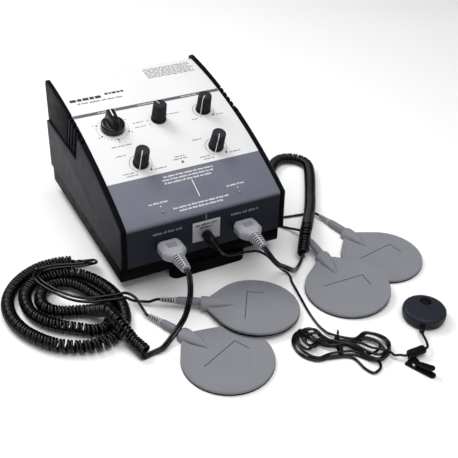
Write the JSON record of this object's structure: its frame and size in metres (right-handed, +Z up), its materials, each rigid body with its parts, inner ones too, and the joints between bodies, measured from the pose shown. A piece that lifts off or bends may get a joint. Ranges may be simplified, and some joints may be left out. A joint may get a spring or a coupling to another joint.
{
  "type": "tens unit",
  "caption": "Desktop two-channel nerve and muscle stimulator console with arched control panel, five knobs, curled electrode leads, round pads and a round patient switch on a clip lead.",
  "frame": {"origin": "on the table plane, under the middle of the console, pads, switch and clip taken together (leads and plugs not counted)", "axes": "+X to the right along the console's fascia, +Y back from the fascia, +Z up"},
  "size_m": [0.4985, 0.5931, 0.1683],
  "materials": {
    "cover_paint": "satin dark blue-black",
    "cheek_plastic": "fine texture, charcoal",
    "base_plastic": "fine texture, black",
    "panel_film": "printed film, white over a grey-blue front band",
    "skid_rubber": "matt",
    "knob_plastic": "satin black",
    "shaft_steel": "turned",
    "board": "glass-fibre laminate",
    "iron": "laminated core",
    "control_metal": "plated",
    "lens": "clear red lens",
    "plate_grey": "satin grey",
    "socket_black": "moulded",
    "plug_grey": "warm light grey moulding",
    "cord_black": "glossy vinyl",
    "boot_grey": "mid grey moulding",
    "pad_rubber": "grey conductive rubber",
    "switch_plastic": "blue-black moulding",
    "clip_plastic": "black moulding"
  },
  "bodies": {
    "console": {"base_pan": "base_plastic", "top_cover": "cover_paint", "left_cheek": "cheek_plastic", "right_cheek": "cheek_plastic", "rear_panel": "cover_paint", "panel_overlay": "panel_film", "front_skid": "skid_rubber", "rear_skid": "skid_rubber", "main_board": "board", "transformer": "iron", "timer_body": "control_metal", "mode_switch_body": "control_metal", "rate_pot": "control_metal", "intensity_pot_a": "control_metal", "intensity_pot_b": "control_metal", "pulse_lamp": "lens", "pilot_lamp_a": "lens", "pilot_lamp_b": "lens", "jack_plate": "plate_grey", "patient_jack": "socket_black", "output_socket_a": "socket_black", "output_socket_b": "socket_black", "mains_inlet": "socket_black", "plug_a": "plug_grey", "plug_b": "plug_grey", "switch_plug": "knob_plastic", "pad_a": "pad_rubber", "pad_b": "pad_rubber", "pad_c": "pad_rubber", "pad_d": "pad_rubber", "pin_connector_a": "boot_grey", "pin_connector_b": "boot_grey", "pin_connector_c": "boot_grey", "pin_connector_d": "boot_grey", "twin_lead_a": "cord_black", "curl_a": "cord_black", "tail_a1": "cord_black", "tail_a2": "cord_black", "twin_lead_b": "cord_black", "curl_b": "cord_black", "tail_b1": "cord_black", "tail_b2": "cord_black", "switch_lead": "cord_black", "switch_hank": "cord_black", "switch_tail": "cord_black", "switch_case": "switch_plastic", "clip_base": "clip_plastic"},
    "timer_dial": {"timer_knob": "knob_plastic", "timer_shaft": "shaft_steel"},
    "mode_selector": {"mode_knob": "knob_plastic", "mode_shaft": "shaft_steel"},
    "rate_control": {"rate_knob": "knob_plastic", "rate_shaft": "shaft_steel"},
    "intensity_control_a": {"intensity_a_knob": "knob_plastic", "intensity_a_shaft": "shaft_steel"},
    "intensity_control_b": {"intensity_b_knob": "knob_plastic", "intensity_b_shaft": "shaft_steel"},
    "fuse_carrier": {"fuse_cap": "socket_black"},
    "patient_button": {"switch_button": "switch_plastic"},
    "clip_lever": {"clip_jaw": "clip_plastic"}
  },
  "joints": [
    {"name": "timer_turn", "type": "hinge", "parent": "console", "child": "timer_dial", "pos_m": [-0.13723, 0.13244, 0.14217], "axis": [0, -0.2372, 0.9715], "range_deg": [-300, 0]},
    {"name": "mode_turn", "type": "hinge", "parent": "console", "child": "mode_selector", "pos_m": [-0.07823, 0.13244, 0.14217], "axis": [0, -0.2372, 0.9715], "range_deg": [-72, 36]},
    {"name": "rate_turn", "type": "hinge", "parent": "console", "child": "rate_control", "pos_m": [-0.01823, 0.13244, 0.14217], "axis": [0, -0.2372, 0.9715], "range_deg": [-280, 0]},
    {"name": "intensity_a_turn", "type": "hinge", "parent": "console", "child": "intensity_control_a", "pos_m": [-0.12673, 0.07263, 0.12414], "axis": [0, -0.3394, 0.9406], "range_deg": [-290, 0]},
    {"name": "intensity_b_turn", "type": "hinge", "parent": "console", "child": "intensity_control_b", "pos_m": [-0.02973, 0.07263, 0.12414], "axis": [0, -0.3394, 0.9406], "range_deg": [-290, 0]},
    {"name": "fuse_cap_turn", "type": "hinge", "parent": "console", "child": "fuse_carrier", "pos_m": [-0.06623, 0.2535, 0.072], "axis": [0, 1, 0], "range_deg": [-45, 0]},
    {"name": "button_press", "type": "slide", "parent": "console", "child": "patient_button", "axis": [0, 0, -1], "range_m": [0, 0.0015], "stiffness_N_per_m": 400, "springref_m": -0.0015},
    {"name": "clip_squeeze", "type": "hinge", "parent": "console", "child": "clip_lever", "pos_m": [0.05293, -0.23853, 0.0066], "axis": [0.9135, 0.4067, 0], "range_deg": [0, 15], "stiffness_Nm_per_rad": 0.03, "springref_deg": -17.19}
  ]
}
